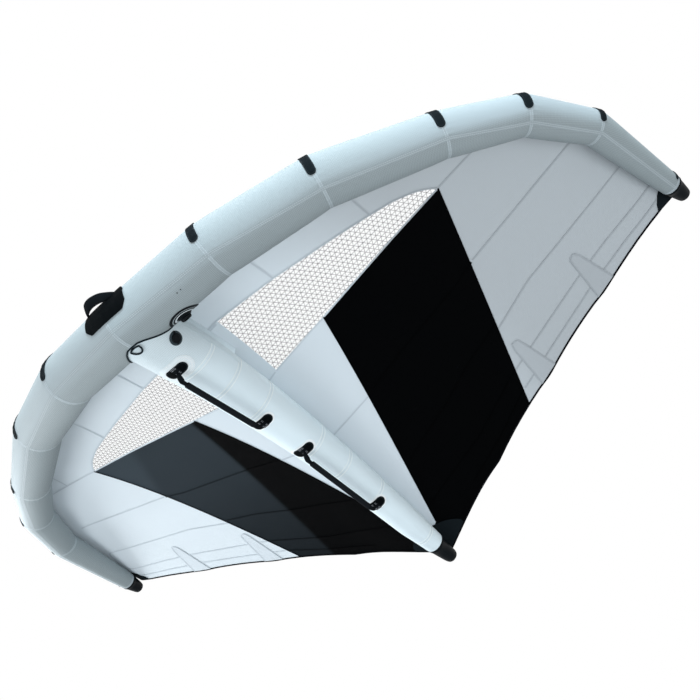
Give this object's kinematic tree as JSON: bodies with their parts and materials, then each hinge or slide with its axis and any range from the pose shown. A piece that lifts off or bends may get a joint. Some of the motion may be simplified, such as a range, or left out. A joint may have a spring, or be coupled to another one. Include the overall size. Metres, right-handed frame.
{
  "type": "wingfoil wing",
  "caption": "Inflatable wingfoil wing with a leading edge tube, centre strut, panelled canopy with clear windows, webbing handles, valves and a leash loop.",
  "frame": {"origin": "On the axis of the leading edge tube in the plane of symmetry, where a hand holds the wing by its nose loop.", "axes": "X runs from tip to tip, +X to the side with the inflation valve; Y runs from the nose to the tail; +Z is the upper side of the canopy, with the strut and handles under it."},
  "size_m": [3.4854, 2.0116, 0.6648],
  "materials": {
    "dacron": "matt woven polyester",
    "strut_dacron": "matt woven polyester",
    "canopy_grey": "coated ripstop",
    "canopy_dark": "coated ripstop",
    "window_film": "clear film with threads",
    "bladder_film": "satin film",
    "charcoal_patch": "coarse reinforced weave",
    "black_webbing": "woven strap",
    "black_plastic": "moulded",
    "black_foam": "ribbed foam",
    "black_trim": "bound edge"
  },
  "bodies": {
    "wing": {"abrasion_patch_left_1": "charcoal_patch", "abrasion_patch_left_2": "charcoal_patch", "abrasion_patch_left_3": "charcoal_patch", "abrasion_patch_left_4": "charcoal_patch", "abrasion_patch_right_1": "charcoal_patch", "abrasion_patch_right_2": "charcoal_patch", "abrasion_patch_right_3": "charcoal_patch", "abrasion_patch_right_4": "charcoal_patch", "canopy_centre_left": "canopy_grey", "canopy_centre_right": "canopy_grey", "canopy_dark_panel_left": "canopy_dark", "canopy_dark_panel_right": "canopy_dark", "canopy_front_strip_left": "canopy_grey", "canopy_front_strip_right": "canopy_grey", "canopy_outer_front_left": "canopy_grey", "canopy_outer_front_right": "canopy_grey", "canopy_outer_rear_left": "canopy_grey", "canopy_outer_rear_right": "canopy_grey", "canopy_window_left": "window_film", "canopy_window_right": "window_film", "front_handle_patch_front": "charcoal_patch", "front_handle_patch_rear": "charcoal_patch", "inflation_hose": "bladder_film", "inflation_valve_base": "charcoal_patch", "inflation_valve_body": "black_plastic", "junction_piping": "black_trim", "le_bladder": "bladder_film", "le_casing_left_inner": "dacron", "le_casing_left_middle": "dacron", "le_casing_left_outer": "dacron", "le_casing_right_inner": "dacron", "le_casing_right_middle": "dacron", "le_casing_right_outer": "dacron", "leash_loop_tab": "black_webbing", "neutral_handle_pad": "charcoal_patch", "rear_handle_patch_front": "charcoal_patch", "rear_handle_patch_rear": "charcoal_patch", "strut_bladder": "bladder_film", "strut_casing_front": "strut_dacron", "strut_casing_middle": "strut_dacron", "strut_casing_rear": "strut_dacron", "strut_end_cap": "black_plastic", "strut_fairing_left": "strut_dacron", "strut_fairing_right": "strut_dacron", "strut_valve_base": "black_plastic", "tail_patch_left": "charcoal_patch", "tail_patch_right": "charcoal_patch", "tip_cap_left": "black_plastic", "tip_cap_right": "black_plastic", "trailing_edge_binding_left": "black_trim", "trailing_edge_binding_right": "black_trim"},
    "front_handle": {"front_handle_webbing": "black_webbing", "front_handle_grip": "black_foam"},
    "rear_handle": {"rear_handle_webbing": "black_webbing", "rear_handle_grip": "black_foam"},
    "neutral_loop": {"neutral_handle_loop": "black_webbing"},
    "leash_ring": {"leash_loop": "black_plastic"},
    "valve_cap": {"inflation_valve_cap": "black_plastic"},
    "strut_valve_lid": {"strut_valve_cap": "black_plastic"}
  },
  "joints": [
    {"name": "front_handle_swing", "type": "hinge", "parent": "wing", "child": "front_handle", "pos_m": [0, 0.23698, -0.06924], "axis": [0, 0.9939, 0.1102], "range_deg": [-65, 65]},
    {"name": "rear_handle_swing", "type": "hinge", "parent": "wing", "child": "rear_handle", "pos_m": [0, 0.89568, -0.01379], "axis": [0, 0.9988, -0.0486], "range_deg": [-65, 65]},
    {"name": "nose_loop_flex", "type": "hinge", "parent": "wing", "child": "neutral_loop", "pos_m": [0, -0.10906, 0.0172], "axis": [1, 0, 0], "range_deg": [-35, 35], "stiffness_Nm_per_rad": 0.05},
    {"name": "leash_loop_swing", "type": "hinge", "parent": "wing", "child": "leash_ring", "pos_m": [0, 0.052, -0.10208], "axis": [1, 0, 0], "range_deg": [-110, 0]},
    {"name": "valve_cap_turn", "type": "hinge", "parent": "wing", "child": "valve_cap", "pos_m": [0.18455, 0.10674, -0.02229], "axis": [0.0238, 0.8531, -0.5212], "range_deg": [0, 90]},
    {"name": "strut_valve_lid_hinge", "type": "hinge", "parent": "wing", "child": "strut_valve_lid", "pos_m": [0.10337, 0.13576, -0.02764], "axis": [-0.4508, -0.5365, -0.7134], "range_deg": [0, 110]}
  ]
}
